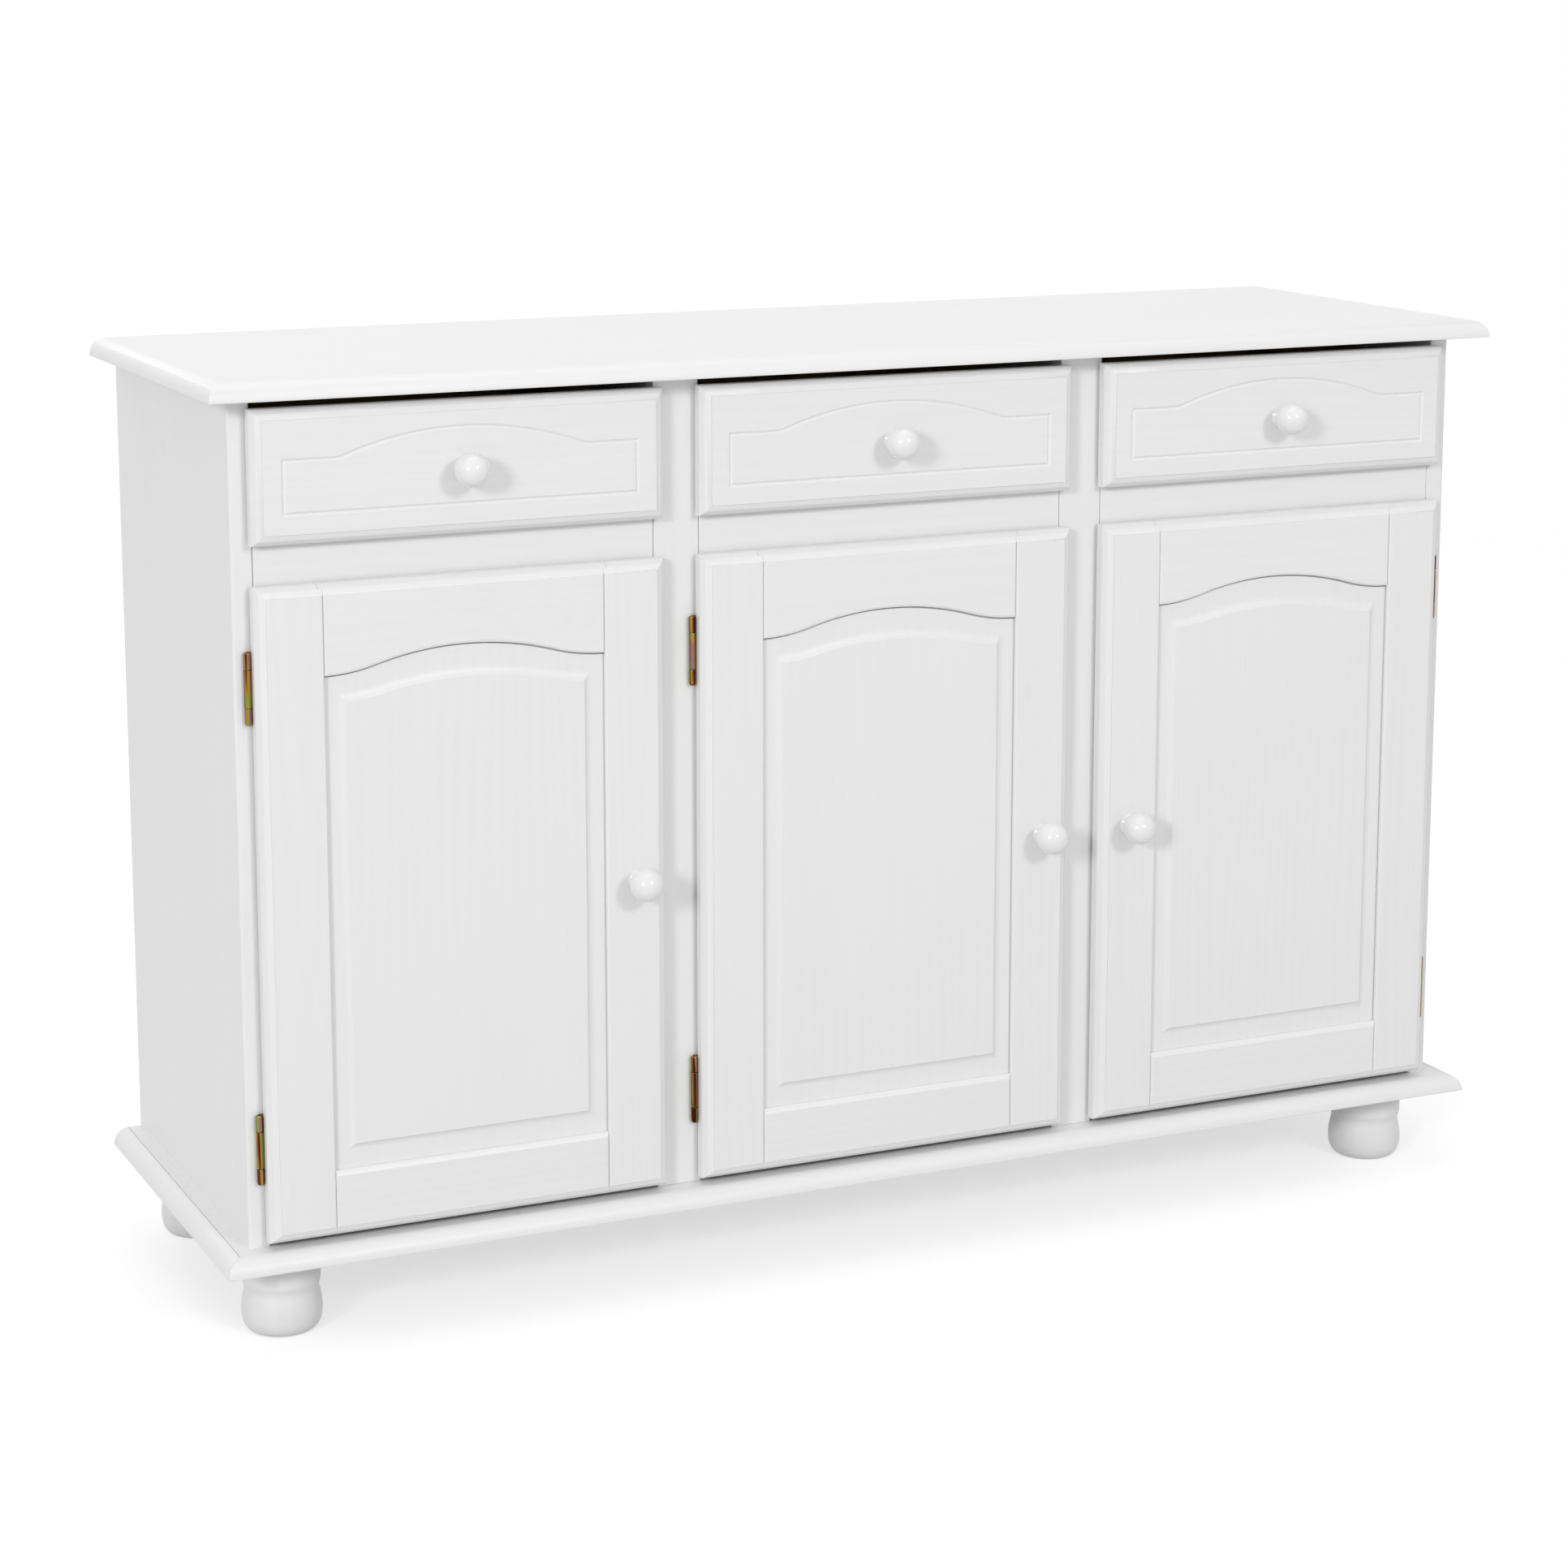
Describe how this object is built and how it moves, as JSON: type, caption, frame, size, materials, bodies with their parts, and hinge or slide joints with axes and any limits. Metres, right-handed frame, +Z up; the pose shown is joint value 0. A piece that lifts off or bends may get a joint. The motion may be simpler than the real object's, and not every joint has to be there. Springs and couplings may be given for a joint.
{
  "type": "sideboard buffet",
  "caption": "White lacquered sideboard with drawers over arched frame-and-panel doors, moulded top and base boards, turned bun feet and ball knobs.",
  "frame": {"origin": "middle of the whole object's footprint, on the floor", "axes": "+X to the right as seen from the front, +Y to the back, +Z up; the doors and drawers face -Y"},
  "size_m": [1.185, 0.3952, 0.793],
  "materials": {
    "white_lacquer": "opaque white satin lacquer on solid pine, a faint grain telegraphing through",
    "gloss_white_lacquer": "smooth white gloss lacquer",
    "back_board": "white-faced hardboard",
    "raw_pine": "planed, unfinished pine",
    "zinc_hinge": "yellow passivated zinc with an iridescent tint"
  },
  "bodies": {
    "root": {"top_board": "white_lacquer", "base_board": "white_lacquer", "back_panel": "back_board", "left_side_panel": "white_lacquer", "left_partition": "white_lacquer", "left_centre_stile": "white_lacquer", "front_left_foot": "white_lacquer", "back_left_foot": "white_lacquer", "right_side_panel": "white_lacquer", "right_partition": "white_lacquer", "right_centre_stile": "white_lacquer", "front_right_foot": "white_lacquer", "back_right_foot": "white_lacquer", "left_drawer_frame": "white_lacquer", "left_shelf": "white_lacquer", "left_lower_hinge_frame_leaf": "zinc_hinge", "left_upper_hinge_frame_leaf": "zinc_hinge", "centre_drawer_frame": "white_lacquer", "centre_shelf": "white_lacquer", "centre_lower_hinge_frame_leaf": "zinc_hinge", "centre_upper_hinge_frame_leaf": "zinc_hinge", "right_drawer_frame": "white_lacquer", "right_shelf": "white_lacquer", "right_lower_hinge_frame_leaf": "zinc_hinge", "right_upper_hinge_frame_leaf": "zinc_hinge"},
    "left_door": {"left_door_left_stile": "white_lacquer", "left_door_right_stile": "white_lacquer", "left_door_top_rail": "white_lacquer", "left_door_bottom_rail": "white_lacquer", "left_door_panel": "white_lacquer", "left_door_knob": "gloss_white_lacquer", "left_lower_hinge_door_leaf": "zinc_hinge", "left_upper_hinge_door_leaf": "zinc_hinge"},
    "left_drawer": {"left_drawer_front": "white_lacquer", "left_drawer_box": "raw_pine", "left_drawer_knob": "gloss_white_lacquer"},
    "centre_door": {"centre_door_left_stile": "white_lacquer", "centre_door_right_stile": "white_lacquer", "centre_door_top_rail": "white_lacquer", "centre_door_bottom_rail": "white_lacquer", "centre_door_panel": "white_lacquer", "centre_door_knob": "gloss_white_lacquer", "centre_lower_hinge_door_leaf": "zinc_hinge", "centre_upper_hinge_door_leaf": "zinc_hinge"},
    "centre_drawer": {"centre_drawer_front": "white_lacquer", "centre_drawer_box": "raw_pine", "centre_drawer_knob": "gloss_white_lacquer"},
    "right_door": {"right_door_left_stile": "white_lacquer", "right_door_right_stile": "white_lacquer", "right_door_top_rail": "white_lacquer", "right_door_bottom_rail": "white_lacquer", "right_door_panel": "white_lacquer", "right_door_knob": "gloss_white_lacquer", "right_lower_hinge_door_leaf": "zinc_hinge", "right_upper_hinge_door_leaf": "zinc_hinge"},
    "right_drawer": {"right_drawer_front": "white_lacquer", "right_drawer_box": "raw_pine", "right_drawer_knob": "gloss_white_lacquer"}
  },
  "joints": [
    {"name": "left_door_hinge", "type": "hinge", "parent": "root", "child": "left_door", "pos_m": [-0.55725, -0.14863, 0.3605], "axis": [0, 0, -1], "range_deg": [0, 110]},
    {"name": "centre_door_hinge", "type": "hinge", "parent": "root", "child": "centre_door", "pos_m": [-0.17725, -0.14863, 0.3605], "axis": [0, 0, -1], "range_deg": [0, 110]},
    {"name": "right_door_hinge", "type": "hinge", "parent": "root", "child": "right_door", "pos_m": [0.55725, -0.14863, 0.3605], "axis": [0, 0, 1], "range_deg": [0, 110]},
    {"name": "left_drawer_slide", "type": "slide", "parent": "root", "child": "left_drawer", "axis": [0, -1, 0], "range_m": [0, 0.23]},
    {"name": "centre_drawer_slide", "type": "slide", "parent": "root", "child": "centre_drawer", "axis": [0, -1, 0], "range_m": [0, 0.23]},
    {"name": "right_drawer_slide", "type": "slide", "parent": "root", "child": "right_drawer", "axis": [0, -1, 0], "range_m": [0, 0.23]}
  ]
}
